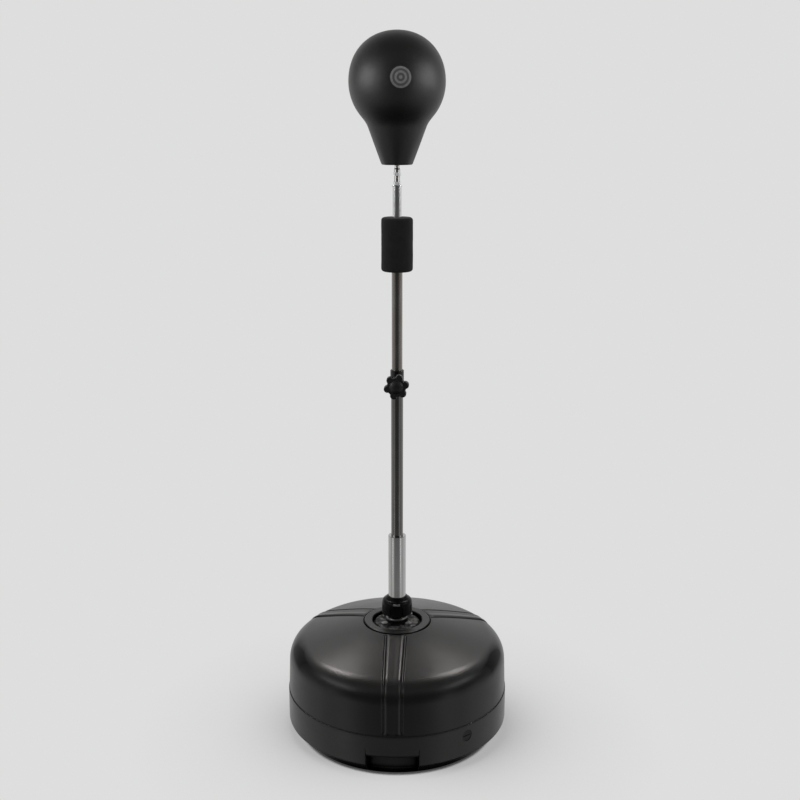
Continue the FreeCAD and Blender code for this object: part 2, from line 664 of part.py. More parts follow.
def make_neck_ferrule():
    bottom = NECK_TOP_Z + 2 * NUT_HEIGHT + SPACER_HEIGHT
    return turned_polygon([
        (THREAD_BORE_R, bottom), (FERRULE_R, bottom), (FERRULE_R, bottom + 6),
        (FERRULE_NECK_R, bottom + 8.5), (FERRULE_NECK_R, BALL_BOTTOM_Z),
        (THREAD_BORE_R, BALL_BOTTOM_Z)])


# ---- ball --------------------------------------------------------------------------------------
def ball_form(grow):
    """The light-bulb form of the ball, grown outwards by a distance (negative draws it in)."""
    wide = BALL_R + grow
    tall = BALL_HALF_HEIGHT + grow
    blend_turn = math.radians(BALL_BLEND_TURN)
    cone_slope = math.radians(BALL_CONE_SLOPE)
    out = math.cos(cone_slope) * grow
    down = math.sin(cone_slope) * grow
    centre = point(0, BALL_CENTRE_Z)
    top = point(0, BALL_CENTRE_Z + tall)
    widest = point(wide, BALL_CENTRE_Z)
    crown_handle = top + point(BALL_FULLNESS * wide, 0)
    side_handle = widest + UP * (BALL_FULLNESS * tall)
    lower_round = Part.Ellipse(top, widest, centre)
    blend = lower_round.value(blend_turn)
    along = lower_round.tangent(blend_turn)[0]
    cone_top = point(BALL_CONE_R + out, BALL_CONE_Z - down)
    cone_up = FreeCAD.Vector(math.sin(cone_slope), 0, math.cos(cone_slope))
    neck = point(BALL_NECK_R + 1.8 + out, BALL_BOTTOM_Z + 4 - down)
    foot = point(BALL_NECK_R - 1.5 + 0.7 * grow, BALL_BOTTOM_Z - grow)
    edges = [bezier([top, crown_handle, side_handle, widest])]
    edges.append(lower_round.toShape(math.pi / 2, blend_turn))
    edges.append(bezier([blend, blend + along * 10, cone_top + cone_up * 10, cone_top]))
    edges.append(line(cone_top, neck))
    edges.append(bezier([neck, neck - cone_up * 2.5, foot + FreeCAD.Vector(1.2, 0, 0), foot]))
    edges += polyline([foot, point(0, foot.z), top])
    return turned(edges)


def make_ball_cover():
    cover = ball_form(0.0).cut(ball_form(-COVER_WALL))
    cover = cover.cut(disc(SOCKET_HOLE_R, BALL_BOTTOM_Z - 1, BALL_BOTTOM_Z + 10))
    return cover.cut(disc(VALVE_R, BALL_BOTTOM_Z - 1, BALL_BOTTOM_Z + 10, (0, VALVE_Y)))


def make_ball_bladder():
    gap = 0.1
    below = disc(BALL_R, BALL_BOTTOM_Z - 10, CORE_TOP_Z)
    outer = ball_form(-COVER_WALL - gap).cut(below)
    below = disc(BALL_R, BALL_BOTTOM_Z - 10, CORE_TOP_Z + BLADDER_WALL)
    inner = ball_form(-COVER_WALL - gap - BLADDER_WALL).cut(below)
    bladder = outer.cut(inner)
    return bladder.cut(disc(VALVE_R, CORE_TOP_Z - 1, CORE_TOP_Z + 5, (0, VALVE_Y)))


def make_ball_core():
    bottom = BALL_BOTTOM_Z + COVER_WALL + 0.2
    core = turned_polygon([
        (0, bottom), (BALL_NECK_R - 3.4, bottom), (CORE_TOP_R, CORE_TOP_Z - 0.5),
        (CORE_TOP_R - 0.8, CORE_TOP_Z), (0, CORE_TOP_Z)])
    core = core.cut(disc(SOCKET_R, BALL_BOTTOM_Z, CORE_TOP_Z - 4))
    return core.cut(disc(VALVE_R, BALL_BOTTOM_Z, CORE_TOP_Z + 1, (0, VALVE_Y)))


def make_ball_socket():
    top = CORE_TOP_Z - 4
    socket = disc(SOCKET_R, BALL_BOTTOM_Z, top)
    return socket.cut(disc(THREAD_BORE_R, BALL_BOTTOM_Z - 1, BALL_BOTTOM_Z + STUD_REACH + 1))


def make_ball_valve():
    valve = disc(VALVE_R - 0.05, BALL_BOTTOM_Z + 0.3, CORE_TOP_Z + BLADDER_WALL, (0, VALVE_Y))
    return valve.cut(disc(VALVE_BORE_R, BALL_BOTTOM_Z, BALL_BOTTOM_Z + 20, (0, VALVE_Y)))


def make_ball_badge():
    skin = ball_form(BADGE_THICKNESS).cut(ball_form(0.0))
    direction = polar(1.0, BADGE_ANGLE, 0)
    start = polar(BALL_R - 20, BADGE_ANGLE, BADGE_Z)
    return skin.common(Part.makeCylinder(BADGE_R, 40, start, direction))


NODES = {
    "base_shell": make_base_shell,
    "floor_pads": make_floor_pads,
    "drain_plug": make_drain_plug,
    "plug_seal": make_plug_seal,
    "hub_ring": make_hub_ring,
    "flange_plate": make_flange_plate,
    "hub_washers": make_hub_washers,
    "hub_bolts": make_hub_bolts,
    "hub_inserts": make_hub_inserts,
    "spring_seat_lower": make_spring_seat_lower,
    "coil_spring": make_coil_spring,
    "spring_seat_upper": make_spring_seat_upper,
    "collar": make_collar,
    "base_tube": make_base_tube,
    "tube_bush_lower": make_tube_bush_lower,
    "tube_bush_upper": make_tube_bush_upper,
    "lower_pole": make_lower_pole,
    "clamp_collar": make_clamp_collar,
    "clamp_insert": make_clamp_insert,
    "knob_washer": make_knob_washer,
    "clamp_screw": make_clamp_screw,
    "star_knob": make_star_knob,
    "upper_pole": make_upper_pole,
    "guide_bush": make_guide_bush,
    "foam_grip": make_foam_grip,
    "neck_tube": make_neck_tube,
    "neck_plug": make_neck_plug,
    "ball_stud": make_ball_stud,
    "lock_nuts": make_lock_nuts,
    "neck_spacer": make_neck_spacer,
    "neck_ferrule": make_neck_ferrule,
    "ball_cover": make_ball_cover,
    "ball_bladder": make_ball_bladder,
    "ball_core": make_ball_core,
    "ball_socket": make_ball_socket,
    "ball_valve": make_ball_valve,
    "ball_badge": make_ball_badge,
}

os.makedirs("parts", exist_ok=True)
for name, make in NODES.items():
    shape = make()
    shape.exportStep("parts/" + name + ".step")
    print(name, len(shape.Solids), round(shape.Volume), shape.isValid())
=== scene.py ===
import bpy
import bmesh
import math
from mathutils import Vector, Matrix, noise


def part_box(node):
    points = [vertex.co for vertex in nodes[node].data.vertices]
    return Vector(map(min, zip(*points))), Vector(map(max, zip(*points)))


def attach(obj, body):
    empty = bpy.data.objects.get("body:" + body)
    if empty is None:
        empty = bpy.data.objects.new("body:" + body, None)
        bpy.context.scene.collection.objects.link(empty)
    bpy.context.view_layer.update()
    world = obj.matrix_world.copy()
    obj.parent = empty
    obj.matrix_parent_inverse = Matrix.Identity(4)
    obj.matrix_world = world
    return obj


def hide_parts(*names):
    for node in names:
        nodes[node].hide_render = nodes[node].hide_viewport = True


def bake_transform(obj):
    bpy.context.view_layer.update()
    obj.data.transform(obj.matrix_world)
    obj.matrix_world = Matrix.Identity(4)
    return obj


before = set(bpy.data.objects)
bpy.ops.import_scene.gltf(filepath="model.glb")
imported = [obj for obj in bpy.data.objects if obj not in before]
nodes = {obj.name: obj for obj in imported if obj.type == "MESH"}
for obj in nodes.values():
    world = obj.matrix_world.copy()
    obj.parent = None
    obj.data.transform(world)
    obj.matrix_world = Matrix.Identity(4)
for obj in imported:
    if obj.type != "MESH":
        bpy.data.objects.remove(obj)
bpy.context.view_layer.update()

# A free-standing reflex ball stand in its studio. The shapes are given in millimetres, and MM scales them
# where a mesh is made. Reaches and bumps of materials, lamps, camera and floor are in metres.
MM = 0.001
scene = bpy.context.scene


# ---- node helpers --------------------------------------------------------------------------
class Nodes:
    """A node tree with a short way to add nodes and join sockets."""

    def __init__(self, tree, coordinates):
        self.tree = tree
        self.tree.nodes.clear()
        places = self.tree.nodes.new("ShaderNodeTexCoord")
        self.place = places.outputs[coordinates]
        self.mirrored = places.outputs["Reflection"]

    def join(self, source, target):
        self.tree.links.new(source, target)

    def feed(self, socket, value):
        """Joins another socket to this one, or sets its plain value."""
        if isinstance(value, bpy.types.NodeSocket):
            self.join(value, socket)
        else:
            socket.default_value = value

    def node(self, kind, settings=None, **inputs):
        """A node with settings as attributes and inputs by socket name."""
        made = self.tree.nodes.new(kind)
        for key, value in (settings or {}).items():
            setattr(made, key, value)
        for key, value in inputs.items():
            self.feed(made.inputs[key.replace("_", " ")], value)
        return made

    def span(self, value, low, high, out_low=0.0, out_high=1.0):
        """The value mapped from one range to another, clamped."""
        made = self.node("ShaderNodeMapRange", {"clamp": True})
        for index, given in enumerate((value, low, high, out_low, out_high)):
            self.feed(made.inputs[index], given)
        return made.outputs[0]

    def maths(self, operation, first, second=0.0):
        made = self.node("ShaderNodeMath", {"operation": operation})
        self.feed(made.inputs[0], first)
        self.feed(made.inputs[1], second)
        return made.outputs[0]

    def vector_maths(self, operation, first, second=None):
        """A vector maths node whose second input, if it has one, is a plain vector."""
        made = self.node("ShaderNodeVectorMath", {"operation": operation})
        self.join(first, made.inputs[0])
        if second is not None:
            made.inputs[1].default_value = second
        return made

    def split(self, vector):
        """The X, Y and Z of a vector, by name."""
        return self.node("ShaderNodeSeparateXYZ", Vector=vector).outputs

    def openness(self, reach, samples=12):
        """1 on open surface, lower where other surfaces stand within reach."""
        return self.node("ShaderNodeAmbientOcclusion", {"samples": samples}, Distance=reach).outputs["AO"]

    def mix_shader(self, factor, first, second):
        made = self.tree.nodes.new("ShaderNodeMixShader")
        for index, socket in enumerate((factor, first, second)):
            self.join(socket, made.inputs[index])
        return made.outputs[0]


class Material(Nodes):
    """A procedural material on a principled shader."""

    # The sockets that a mix node uses for colours.
    MIX_FACTOR = 0
    MIX_COLOURS = (6, 7)
    MIX_RESULT = 2

    def __init__(self, name):
        self.material = bpy.data.materials.new(name)
        self.material.use_nodes = True
        super().__init__(self.material.node_tree, "Object")
        self.output = self.tree.nodes.new("ShaderNodeOutputMaterial")
        self.shader = self.tree.nodes.new("ShaderNodeBsdfPrincipled")
        self.join(self.shader.outputs[0], self.output.inputs[0])

    def scaled_place(self, x, y, z):
        """Object coordinates scaled along each axis."""
        return self.node("ShaderNodeMapping", Vector=self.place, Scale=(x, y, z)).outputs[0]

    def noise(self, scale, detail=4.0, rough=0.55, place=None):
        return self.node("ShaderNodeTexNoise", Vector=place or self.place, Scale=scale,
                         Detail=detail, Roughness=rough).outputs["Fac"]

    def cells(self, scale, feature="F1"):
        return self.node("ShaderNodeTexVoronoi", {"feature": feature}, Vector=self.place,
                         Scale=scale).outputs["Distance"]

    def mix(self, factor, first, second):
        """A colour between two colours, each a socket or three numbers."""
        made = self.node("ShaderNodeMix", {"data_type": "RGBA"})
        self.join(factor, made.inputs[self.MIX_FACTOR])
        for index, colour in zip(self.MIX_COLOURS, (first, second)):
            self.feed(made.inputs[index], (*colour, 1.0) if isinstance(colour, tuple) else colour)
        return made.outputs[self.MIX_RESULT]

    def edge_wear(self, low=0.52, high=0.62):
        """Near 1 on worn outer edges."""
        point = self.node("ShaderNodeNewGeometry").outputs["Pointiness"]
        return self.span(point, low, high)

    def relief(self, height, strength, distance, below=None):
        """A bump of a height field, on top of another bump if given."""
        made = self.node("ShaderNodeBump", Height=height, Strength=strength, Distance=distance)
        if below is not None:
            self.join(below, made.inputs["Normal"])
        return made.outputs[0]

    def set(self, **inputs):
        """Inputs of the principled shader, by socket name."""
        for key, value in inputs.items():
            self.feed(self.shader.inputs[key.replace("_", " ")], value)


def grey(level, warm=0.0):
    return (level * (1 + warm), level, level * (1 - warm))


# ---- materials -----------------------------------------------------------------------------
def painted_hollow_shade(m):
    """Painted shade from ambient occlusion: 1 on open surface, low in deep hollows and in the grooves."""
    wide = m.span(m.openness(0.05), 0.30, 0.72, 0.04, 1.0)
    narrow = m.span(m.openness(0.010), 0.55, 0.88, 0.30, 1.0)
    return m.maths("MULTIPLY", wide, narrow)


def painted_card_reflection(m):
    """Painted reflection of dark cards that the scene does not hold: 1 where the surface mirrors the lit
    room, low where it would mirror the cards to each side.
    """
    mirrored = m.split(m.mirrored)
    sideways = m.span(m.maths("ABSOLUTE", mirrored["X"]), 0.36, 0.60)
    sideways = m.maths("MULTIPLY", sideways, m.span(mirrored["Y"], -0.05, 0.45))
    level = m.maths("MULTIPLY", m.span(mirrored["Z"], 0.42, 0.64, 1.0, 0.0),
                    m.span(mirrored["Z"], -0.32, -0.08, 0.45, 1.0))
    return m.span(m.maths("MULTIPLY", sideways, level), 0.0, 1.0, 1.0, 0.10)


def tank_plastic():
    """Moulded black polyethylene: leather grain, mottling, dusty scratches, a greyer band below the step."""
    m = Material("tank_plastic")
    height = m.split(m.place)["Z"]
    hollow_shade = painted_hollow_shade(m)
    lit = painted_card_reflection(m)
    mottle = m.noise(9.0, 5.0, 0.6)
    grain = m.cells(620.0)
    fine = m.noise(900.0, 3.0, 0.6)
    scratch = m.noise(26.0, 6.0, 0.7, m.scaled_place(1.0, 1.0, 9.0))
    base = m.mix(m.span(mottle, 0.35, 0.65), grey(0.0055), grey(0.0085, 0.03))
    dusty = m.span(scratch, 0.60, 0.74, 0.0, 0.35)
    colour = m.mix(dusty, base, grey(0.022, 0.04))
    colour = m.mix(m.span(height, 0.094, 0.102, 0.6, 0.0), colour, grey(0.050, 0.02))
    colour = m.mix(m.maths("MULTIPLY", m.edge_wear(), 0.2), colour, grey(0.03, 0.04))
    # Painted shade: the colour goes nearly black in the hollows and grooves.
    colour = m.mix(hollow_shade, grey(0.0003), colour)
    rough = m.maths("ADD", m.span(mottle, 0.3, 0.7, 0.29, 0.37), m.maths("MULTIPLY", dusty, 0.3))
    bump = m.relief(grain, 0.22, 0.0003)
    bump = m.relief(fine, 0.18, 0.0002, bump)
    # The sheen carries the painted shade of the hollows and the painted dark reflection to the sides.
    m.set(Base_Color=colour, Roughness=rough, Normal=bump,
          Specular_IOR_Level=m.maths("MULTIPLY", m.maths("MULTIPLY", hollow_shade, lit), 0.5))
    return m.material


def soft_rubber(name, level):
    m = Material(name)
    mottle = m.noise(60.0, 5.0, 0.65)
    fine = m.noise(700.0, 4.0, 0.7)
    colour = m.mix(m.span(mottle, 0.35, 0.7), grey(level), grey(level * 1.9, 0.03))
    bump = m.relief(fine, 0.25, 0.0003)
    m.set(Base_Color=colour, Roughness=m.span(mottle, 0.3, 0.7, 0.62, 0.82), Normal=bump)
    return m.material


def gloss_plastic(name, level, rough_low, rough_high, shine=0.45):
    """Injection moulded nylon or ABS: faint texture, wear-polished edges."""
    m = Material(name)
    mottle = m.noise(45.0, 4.0, 0.6)
    fine = m.noise(1100.0, 2.0, 0.5)
    colour = m.mix(m.span(mottle, 0.3, 0.7), grey(level), grey(level * 1.5))
    colour = m.mix(m.maths("MULTIPLY", m.edge_wear(), 0.6), colour, grey(level * 4 + 0.01))
    bump = m.relief(fine, 0.15, 0.0002)
    m.set(Base_Color=colour, Roughness=m.span(mottle, 0.3, 0.7, rough_low, rough_high), Normal=bump,
          Specular_IOR_Level=shine)
    return m.material


def drawn_steel(name, low, high, rough_low, rough_high, warm=0.0):
    """Plated drawn tube or rod: fine lines along the length and faint clouding."""
    m = Material(name)
    lines = m.noise(160.0, 4.0, 0.6, m.scaled_place(6.0, 6.0, 0.12))
    cloud = m.noise(14.0, 4.0, 0.6)
    speck = m.noise(420.0, 3.0, 0.7)
    tone = m.maths("ADD", m.maths("MULTIPLY", lines, 0.55), m.maths("MULTIPLY", cloud, 0.45))
    colour = m.mix(m.span(tone, 0.38, 0.62), grey(low, warm), grey(high, warm * 0.5))
    colour = m.mix(m.span(speck, 0.70, 0.78, 0.0, 0.5), colour, grey(low * 0.6, warm))
    bump = m.relief(lines, 0.06, 0.0002)
    m.set(Base_Color=colour, Metallic=1.0, Normal=bump,
          Roughness=m.span(tone, 0.35, 0.65, rough_low, rough_high))
    return m.material


def zinc_steel(name, level, metallic):
    """Zinc plating: small crystals and slight clouding."""
    m = Material(name)
    cloud = m.noise(120.0, 5.0, 0.6)
    flakes = m.cells(900.0)
    colour = m.mix(m.span(cloud, 0.3, 0.7), grey(level * 0.8, -0.03), grey(level * 1.2, -0.02))
    bump = m.relief(flakes, 0.10, 0.0002)
    m.set(Base_Color=colour, Metallic=metallic, Roughness=m.span(cloud, 0.3, 0.7, 0.26, 0.42), Normal=bump)
    return m.material


def brass():
    m = Material("brass")
    lines = m.noise(300.0, 4.0, 0.6, m.scaled_place(1.0, 1.0, 8.0))
    colour = m.mix(m.span(lines, 0.3, 0.7), (0.52, 0.36, 0.13), (0.74, 0.56, 0.26))
    m.set(Base_Color=colour, Metallic=1.0, Roughness=m.span(lines, 0.3, 0.7, 0.25, 0.4),
          Normal=m.relief(lines, 0.1, 0.0002))
    return m.material


def plate_paint():
    """Black powder coat with a slight orange peel, bare steel on the sharpest edges."""
    m = Material("plate_paint")
    peel = m.noise(420.0, 2.0, 0.5)
    cloud = m.noise(30.0, 4.0, 0.6)
    colour = m.mix(m.span(cloud, 0.3, 0.7), grey(0.010), grey(0.016))
    worn = m.maths("MULTIPLY", m.edge_wear(0.55, 0.66), m.span(m.noise(90.0), 0.45, 0.6))
    colour = m.mix(worn, colour, (0.35, 0.34, 0.33))
    m.set(Base_Color=colour, Roughness=m.span(cloud, 0.3, 0.7, 0.46, 0.56),
          Metallic=m.maths("MULTIPLY", worn, 0.9), Normal=m.relief(peel, 0.3, 0.0003),
          Specular_IOR_Level=0.14)
    return m.material


def foam():
    """Closed-cell foam: fine pores, a soft skin and a dusty sheen."""
    m = Material("foam")
    pores = m.cells(520.0)
    small = m.cells(1250.0)
    cloud = m.noise(38.0, 5.0, 0.6)
    pit = m.span(pores, 0.05, 0.55)
    # Darker in the pores: painted shade inside the pits.
    colour = m.mix(pit, grey(0.004), grey(0.0125))
    colour = m.mix(m.span(cloud, 0.45, 0.75, 0.0, 0.4), colour, grey(0.019))
    bump = m.relief(pit, 0.7, 0.0006)
    bump = m.relief(small, 0.35, 0.0003, bump)
    m.set(Base_Color=colour, Roughness=0.93, Normal=bump, Sheen_Weight=0.08, Sheen_Roughness=0.5,
          Specular_IOR_Level=0.25)
    return m.material


def ball_skin():
    """Smooth coated synthetic leather: tight pebble grain, faint creases, satin sheen."""
    m = Material("ball_skin")
    pebble = m.cells(480.0, "SMOOTH_F1")
    crease = m.cells(330.0, "DISTANCE_TO_EDGE")
    cloud = m.noise(16.0, 5.0, 0.6)
    fine = m.noise(1500.0, 2.0, 0.5)
    colour = m.mix(m.span(cloud, 0.3, 0.7), grey(0.0035), grey(0.0060, 0.02))
    # Darker along the creases: painted shade in the folds.
    colour = m.mix(m.span(crease, 0.0, 0.05, 0.35, 0.0), colour, grey(0.003))
    bump = m.relief(m.span(crease, 0.0, 0.12), 0.22, 0.0003)
    bump = m.relief(pebble, 0.16, 0.0003, bump)
    bump = m.relief(fine, 0.08, 0.0002, bump)
    m.set(Base_Color=colour, Roughness=m.span(cloud, 0.3, 0.7, 0.40, 0.50), Normal=bump,
          Coat_Weight=0.10, Coat_Roughness=0.35, Specular_IOR_Level=0.5)
    return m.material


def badge_print():
    """A generic round patch: concentric rings in two greys on woven backing."""
    m = Material("badge_print")
    low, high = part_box("ball_badge")
    centre = tuple((a + b) / 2 for a, b in zip(low, high))
    ring_spacing = 0.008
    offset = m.vector_maths("SUBTRACT", m.place, centre)
    length = m.vector_maths("LENGTH", offset.outputs[0])
    rings = m.maths("SINE", m.maths("MULTIPLY", length.outputs["Value"], math.tau / ring_spacing))
    bright = m.span(rings, -0.15, 0.15)
    weave = m.node("ShaderNodeTexWave", {"wave_type": "BANDS"}, Vector=m.place, Scale=420.0, Distortion=1.0)
    colour = m.mix(bright, grey(0.070), grey(0.21))
    colour = m.mix(m.span(m.noise(300.0), 0.4, 0.7, 0.0, 0.4), colour, grey(0.05))
    m.set(Base_Color=colour, Roughness=0.6, Normal=m.relief(weave.outputs["Fac"], 0.2, 0.0002))
    return m.material


MATERIALS = {
    "tank_plastic": tank_plastic(),
    "soft_rubber": soft_rubber("soft_rubber", 0.012),
    "bladder_rubber": soft_rubber("bladder_rubber", 0.03),
    "collar_plastic": gloss_plastic("collar_plastic", 0.0015, 0.30, 0.40, 0.12),
    "clamp_plastic": gloss_plastic("clamp_plastic", 0.003, 0.26, 0.36),
    "knob_plastic": gloss_plastic("knob_plastic", 0.005, 0.38, 0.5),
    "plug_plastic": gloss_plastic("plug_plastic", 0.008, 0.5, 0.6),
    "nylon": gloss_plastic("nylon", 0.03, 0.45, 0.6),
    "chrome_tube": drawn_steel("chrome_tube", 0.44, 0.54, 0.12, 0.17, 0.01),
    "rod_chrome": drawn_steel("rod_chrome", 0.68, 0.80, 0.10, 0.16),
    "lower_pole_steel": drawn_steel("lower_pole_steel", 0.14, 0.19, 0.16, 0.24, 0.03),
    "upper_pole_steel": drawn_steel("upper_pole_steel", 0.21, 0.27, 0.16, 0.24, 0.10),
    "zinc_steel": zinc_steel("zinc_steel", 0.50, 1.0),
    # Zinc made pale and barely metallic so the nuts look bright: painted light in place of a reflection.
    "nut_zinc_painted_bright": zinc_steel("nut_zinc_painted_bright", 0.80, 0.15),
    "dark_sleeve_steel": drawn_steel("dark_sleeve_steel", 0.30, 0.42, 0.30, 0.42, 0.04),
    "brass": brass(),
    "spring_steel": drawn_steel("spring_steel", 0.20, 0.32, 0.28, 0.38, 0.02),
    "plate_paint": plate_paint(),
    "foam": foam(),
    "ball_skin": ball_skin(),
    "badge_print": badge_print(),
}

CAD_LOOKS = {
    "floor_pads": "soft_rubber", "drain_plug": "plug_plastic", "plug_seal": "soft_rubber",
    "hub_ring": "tank_plastic", "flange_plate": "plate_paint", "hub_washers": "zinc_steel",
    "hub_bolts": "zinc_steel", "hub_inserts": "brass", "spring_seat_lower": "plate_paint",
    "spring_seat_upper": "zinc_steel", "collar": "collar_plastic", "base_tube": "chrome_tube",
    "tube_bush_upper": "chrome_tube", "tube_bush_lower": "nylon", "lower_pole": "lower_pole_steel",
    "clamp_collar": "clamp_plastic", "clamp_insert": "brass", "knob_washer": "nylon",
    "clamp_screw": "zinc_steel", "star_knob": "knob_plastic", "upper_pole": "upper_pole_steel",
    "guide_bush": "nylon", "neck_plug": "rod_chrome", "neck_tube": "rod_chrome",
    "ball_stud": "zinc_steel", "lock_nuts": "nut_zinc_painted_bright", "neck_spacer": "dark_sleeve_steel",
    "neck_ferrule": "dark_sleeve_steel", "ball_bladder": "bladder_rubber", "ball_core": "soft_rubber",
    "ball_socket": "nylon", "ball_valve": "bladder_rubber", "ball_badge": "badge_print",
}


# ---- mesh helpers --------------------------------------------------------------------------
def lerp(a, b, t):
    return a + (b - a) * t


def smooth_step(t):
    t = min(1.0, max(0.0, t))
    return t * t * (3 - 2 * t)


def polar(radius, height, turn):
    return Vector((radius * math.cos(turn), radius * math.sin(turn), height))


def between(pairs, x):
    """The value at x on straight lines between (x, value) pairs."""
    for (x0, y0), (x1, y1) in zip(pairs, pairs[1:]):
        if x <= x1:
            return lerp(y0, y1, (x - x0) / (x1 - x0))
    return pairs[-1][1]


def cubic(points, count):
    """Points of a cubic Bezier curve, its start left out."""
    (x0, y0), (x1, y1), (x2, y2), (x3, y3) = points
    made = []
    for i in range(1, count + 1):
        t = i / count
        s = 1 - t
        x = s ** 3 * x0 + 3 * s * s * t * x1 + 3 * s * t * t * x2 + t ** 3 * x3
        y = s ** 3 * y0 + 3 * s * s * t * y1 + 3 * s * t * t * y2 + t ** 3 * y3
        made.append((x, y))
    return made


def corner_round(centre, radius, start, end, count):
    """Points of a round corner, angles in degrees."""
    made = []
    for i in range(count + 1):
        turn = math.radians(lerp(start, end, i / count))
        made.append((centre[0] + radius * math.cos(turn), centre[1] + radius * math.sin(turn)))
    return made


def resample(points, count):
    """The same open outline with evenly spread points."""
    lengths = [0.0]
    for (ax, ay), (bx, by) in zip(points, points[1:]):
        lengths.append(lengths[-1] + math.hypot(bx - ax, by - ay))
    made = []
    at = 0
    for i in range(count):
        goal = lengths[-1] * i / (count - 1)
        while at < len(points) - 2 and lengths[at + 1] < goal:
            at += 1
        step = lengths[at + 1] - lengths[at]
        t = (goal - lengths[at]) / step if step > 0 else 0.0
        made.append((lerp(points[at][0], points[at + 1][0], t), lerp(points[at][1], points[at + 1][1], t)))
    return made


def mesh_object(name, vertices, faces, material, smooth=True):
    mesh = bpy.data.meshes.new(name)
    mesh.from_pydata(vertices, [], faces)
    mesh.validate()
    built = bmesh.new()
    built.from_mesh(mesh)
    bmesh.ops.recalc_face_normals(built, faces=built.faces)
    built.to_mesh(mesh)
    built.free()
    for polygon in mesh.polygons:
        polygon.use_smooth = smooth
    piece = bpy.data.objects.new(name, mesh)
    scene.collection.objects.link(piece)
    mesh.materials.append(material)
    return piece


def grid_faces(rows, columns, closed_rows=False):
    """Quads of a grid whose columns run round and close."""
    faces = []
    for i in range(rows if closed_rows else rows - 1):
        below = i * columns
        above = ((i + 1) % rows) * columns
        for j in range(columns):
            k = (j + 1) % columns
            faces.append((below + j, below + k, above + k, above + j))
    return faces


def close_on_axis(vertices, faces, row, columns, height):
    """Closes a row of a round grid with a fan to a new point on the axis."""
    tip = len(vertices)
    vertices.append(Vector((0, 0, height)) * MM)
    for j in range(columns):
        faces.append((row * columns + j, row * columns + (j + 1) % columns, tip))


def turned(name, outline, material, segments, shift):
    """A closed turned piece from an open outline that starts and ends on the axis; shift moves each point."""
    inner = outline[1:-1]
    vertices = []
    for radius, height in inner:
        for j in range(segments):
            vertices.append(shift(polar(radius, height, math.tau * j / segments)) * MM)
    faces = grid_faces(len(inner), segments)
    close_on_axis(vertices, faces, 0, segments, outline[0][1])
    close_on_axis(vertices, faces, len(inner) - 1, segments, outline[-1][1])
    return mesh_object(name, vertices, faces, material)


def turned_ring(name, outline, material, segments):
    """A turned piece from a closed outline away from the axis."""
    vertices = []
    for radius, height in outline:
        for j in range(segments):
            vertices.append(polar(radius, height, math.tau * j / segments) * MM)
    return mesh_object(name, vertices, grid_faces(len(outline), segments, True), material)


def cutter(name, radius, start, end, segments=48):
    """A cylinder between two points (mm), for a boolean cut."""
    axis = end - start
    built = bmesh.new()
    bmesh.ops.create_cone(built, cap_ends=True, segments=segments, radius1=radius * MM, radius2=radius * MM,
                          depth=axis.length * MM)
    turn = axis.to_track_quat("Z", "Y").to_matrix().to_4x4()
    bmesh.ops.transform(built, matrix=Matrix.Translation((start + end) / 2 * MM) @ turn, verts=built.verts)
    mesh = bpy.data.meshes.new(name)
    built.to_mesh(mesh)
    built.free()
    tool = bpy.data.objects.new(name, mesh)
    scene.collection.objects.link(tool)
    return tool


def cut_away(piece, tools, sharp_angle):
    """Cuts the tools out of the piece for good, removes them, and keeps edges over the angle sharp."""
    for tool in tools:
        cut = piece.modifiers.new("cut", "BOOLEAN")
        cut.operation = "DIFFERENCE"
        cut.solver = "EXACT"
        cut.object = tool
    applied = bpy.data.meshes.new_from_object(piece.evaluated_get(bpy.context.evaluated_depsgraph_get()))
    piece.modifiers.clear()
    piece.data = applied
    for tool in tools:
        bpy.data.objects.remove(tool)
    piece.data.shade_smooth()
    piece.data.set_sharp_from_angle(angle=math.radians(sharp_angle))


def box_mm(node):
    low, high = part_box(node)
    return [v / MM for v in low], [v / MM for v in high]


def stand_in(piece, node, body):
    """The piece takes the place of a CAD node on its body."""
    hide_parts(node)
    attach(piece, body)


# ---- the tank that is the base -------------------------------------------------------------
# A round grid. Its rows follow the outline, and its columns crowd together at a rib, which here is a pair of
# grooves that runs from the hub over the side to the step. Points are (radius, height) in mm.
BASE_R = box_mm("base_shell")[1][0]
UNDERSIDE_R = 206.0
UNDERSIDE_Z = 2.0
FOOT_R = 208.5
FOOT_ROUND = 4.0
LIP_R = 231.0
LIP_Z = 31.0
LIP_ROUND = 3.5
GRIP_HALF = 54.5
GRIP_EDGE = 2.0
GRIP_BACK_R = 206.0
GRIP_FLOOR = (217.2, 10.0)
GRIP_FLOOR_ROUND = 3.0
GRIP_TOP_Z = 53.5
GRIP_TOP_ROUND = 8.0
STEP_Z = 101.0
STEP_ROUND = 1.8
BAND_TOP = (BASE_R, STEP_Z - 2.5)
BODY_R = 238.7
SIDE_TOP = (236.3, 166.0)
SHOULDER_PULLS = ((235.7, 193.0), (219.0, 207.8))
SHOULDER_TOP = (200.0, 213.6)
DOME_PULLS = ((172.0, 222.4), (120.0, 238.5))
RIM_R = 73.5
RIM_TOP_Z = 247.4
RIM_ROUND = 1.8
HUB_SEAT_Z = 241.0

RIB_COUNT = 3
RIB_REACH = 60.0
PLAIN_COLUMNS = 62
# Columns on one side of a rib's middle, as (first offset on the wall, spacing, number).
COLUMN_STRETCHES = ((0.0, 2.0, 5), (9.0, 0.75, 22), (26.0, 3.0, 8),
                    (50.0, 1.5, 2), (53.0, 0.6, 5), (56.0, 2.0, 3))
# How far from a rib's middle a column runs, as (offset on the wall, offset at the hub).
RIB_SPREAD = ((0.0, 0.0), (15.8, 18.5), (21.8, 24.5), (30.0, 31.0), (RIB_REACH, 44.0))
GROOVE_MIDDLE = 18.8
GROOVE_HALF = 4.7
GROOVE_DEPTH = 2.9
RAISED_HALF = GROOVE_MIDDLE - GROOVE_HALF + 1.5
RAISED_HEIGHT = 1.3
WAVE_HEIGHT = 0.25

